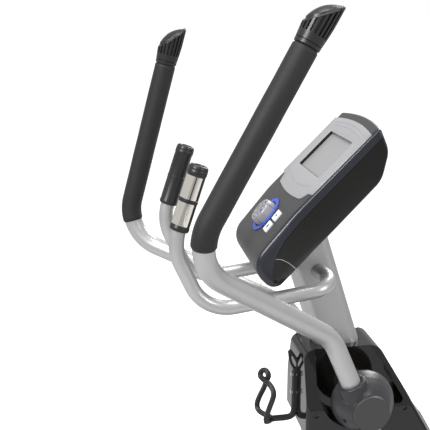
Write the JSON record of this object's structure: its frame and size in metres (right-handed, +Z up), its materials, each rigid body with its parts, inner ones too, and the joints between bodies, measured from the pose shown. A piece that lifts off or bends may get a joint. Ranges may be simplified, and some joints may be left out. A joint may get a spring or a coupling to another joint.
{
  "type": "elliptical cross-trainer",
  "caption": "Standing elliptical trainer: leaning mast, tilted console, two swinging arms with foam grips, hand pulse bars and front crank drive.",
  "frame": {"origin": "on the floor, under the middle of the machine's footprint", "axes": "+X to the machine's front, +Y to the user's left, +Z up"},
  "size_m": [1.448, 0.6373, 1.6979],
  "materials": {
    "silver_paint": "satin metallic",
    "black_paint": "satin",
    "bare_steel": "machined",
    "cast_iron": "rough",
    "gloss_black": "polished",
    "satin_grey": "satin",
    "matte_black": "matte",
    "silver_plastic": "satin",
    "white_plastic": "satin",
    "blue_plastic": "satin",
    "foam": "matte",
    "rubber": "matte",
    "mirror_steel": "polished",
    "lcd": "satin",
    "board": "satin",
    "magnet": "plated"
  },
  "bodies": {
    "frame": {"base_spine": "silver_paint", "bottle_cage": "matte_black", "brake_magnets": "magnet", "cage_bolts": "bare_steel", "circuit_board": "board", "console_bracket": "black_paint", "console_face": "satin_grey", "console_shell": "gloss_black", "control_ring": "blue_plastic", "crank_bearings": "bare_steel", "display_bezel": "silver_plastic", "drive_belt": "rubber", "floor_pads": "rubber", "front_stabilizer": "silver_paint", "lcd_panel": "lcd", "mast": "silver_paint", "mast_bolts": "bare_steel", "pivot_axle": "bare_steel", "pulse_bars": "silver_paint", "pulse_end_caps": "matte_black", "pulse_grips": "matte_black", "pulse_plates": "mirror_steel", "rear_stabilizer": "silver_paint", "shroud_left": "gloss_black", "shroud_right": "gloss_black", "shroud_screws": "black_paint", "shroud_trim": "silver_plastic", "stabilizer_end_caps": "matte_black", "upright_tube": "silver_paint"},
    "arm_right": {"arm_tube_right": "silver_paint", "foam_grip_right": "foam", "arm_cap_right": "matte_black", "lower_arm_right": "silver_paint", "knuckle_cover_right": "satin_grey", "axle_cap_right": "satin_grey"},
    "arm_left": {"arm_tube_left": "silver_paint", "foam_grip_left": "foam", "arm_cap_left": "matte_black", "lower_arm_left": "silver_paint", "knuckle_cover_left": "satin_grey", "axle_cap_left": "satin_grey"},
    "pedal_right": {"pedal_arm_right": "silver_paint", "foot_pad_right": "matte_black"},
    "pedal_left": {"pedal_arm_left": "silver_paint", "foot_pad_left": "matte_black"},
    "crank": {"crank_shaft": "bare_steel", "crank_arms": "black_paint", "drive_pulley": "matte_black"},
    "flywheel": {"flywheel": "cast_iron"},
    "wheel_right": {"transport_wheel_right": "matte_black"},
    "wheel_left": {"transport_wheel_left": "matte_black"},
    "key_down": {"key_down": "silver_plastic"},
    "key_enter": {"key_enter": "silver_plastic"},
    "key_left": {"key_left": "silver_plastic"},
    "key_right": {"key_right": "silver_plastic"},
    "key_start": {"key_start": "white_plastic"},
    "key_stop": {"key_stop": "white_plastic"},
    "key_up": {"key_up": "silver_plastic"}
  },
  "joints": [
    {"name": "arm_right_swing", "type": "hinge", "parent": "frame", "child": "arm_right", "pos_m": [0.068, 0, 0.95], "axis": [0, 1, 0], "range_deg": [-24.4, 9.6]},
    {"name": "arm_left_swing", "type": "hinge", "parent": "frame", "child": "arm_left", "pos_m": [0.068, 0, 0.95], "axis": [0, 1, 0], "range_deg": [-9.6, 24.4]},
    {"name": "pedal_right_pivot", "type": "hinge", "parent": "arm_right", "child": "pedal_right", "pos_m": [-0.05757, 0, 0.37135], "axis": [0, 1, 0], "range_deg": [-9.6, 24.4]},
    {"name": "pedal_left_pivot", "type": "hinge", "parent": "arm_left", "child": "pedal_left", "pos_m": [0.09441, 0, 0.35847], "axis": [0, 1, 0], "range_deg": [-24.4, 9.6]},
    {"name": "crank_spin", "type": "hinge", "parent": "frame", "child": "crank", "pos_m": [0.444, 0, 0.36], "axis": [0, 1, 0], "continuous": true},
    {"name": "flywheel_spin", "type": "hinge", "parent": "frame", "child": "flywheel", "pos_m": [0.2, 0, 0.25], "axis": [0, 1, 0], "continuous": true},
    {"name": "wheel_right_spin", "type": "hinge", "parent": "frame", "child": "wheel_right", "pos_m": [0.693, -0.13, 0.04], "axis": [0, 1, 0], "continuous": true},
    {"name": "wheel_left_spin", "type": "hinge", "parent": "frame", "child": "wheel_left", "pos_m": [0.693, 0.13, 0.04], "axis": [0, 1, 0], "continuous": true},
    {"name": "key_down_press", "type": "slide", "parent": "frame", "child": "key_down", "axis": [0.7716, 0, -0.6361], "range_m": [0, 0.001], "stiffness_N_per_m": 900},
    {"name": "key_enter_press", "type": "slide", "parent": "frame", "child": "key_enter", "axis": [0.7716, 0, -0.6361], "range_m": [0, 0.001], "stiffness_N_per_m": 900},
    {"name": "key_left_press", "type": "slide", "parent": "frame", "child": "key_left", "axis": [0.7716, 0, -0.6361], "range_m": [0, 0.001], "stiffness_N_per_m": 900},
    {"name": "key_right_press", "type": "slide", "parent": "frame", "child": "key_right", "axis": [0.7716, 0, -0.6361], "range_m": [0, 0.001], "stiffness_N_per_m": 900},
    {"name": "key_start_press", "type": "slide", "parent": "frame", "child": "key_start", "axis": [0.7716, 0, -0.6361], "range_m": [0, 0.001], "stiffness_N_per_m": 900},
    {"name": "key_stop_press", "type": "slide", "parent": "frame", "child": "key_stop", "axis": [0.7716, 0, -0.6361], "range_m": [0, 0.001], "stiffness_N_per_m": 900},
    {"name": "key_up_press", "type": "slide", "parent": "frame", "child": "key_up", "axis": [0.7716, 0, -0.6361], "range_m": [0, 0.001], "stiffness_N_per_m": 900}
  ],
  "couplings": [
    {"joint": "arm_left_swing", "follows": "arm_right_swing", "ratio": -1},
    {"joint": "pedal_right_pivot", "follows": "arm_right_swing", "ratio": -1},
    {"joint": "pedal_left_pivot", "follows": "arm_right_swing", "ratio": 1},
    {"joint": "flywheel_spin", "follows": "crank_spin", "ratio": 6.2675}
  ]
}
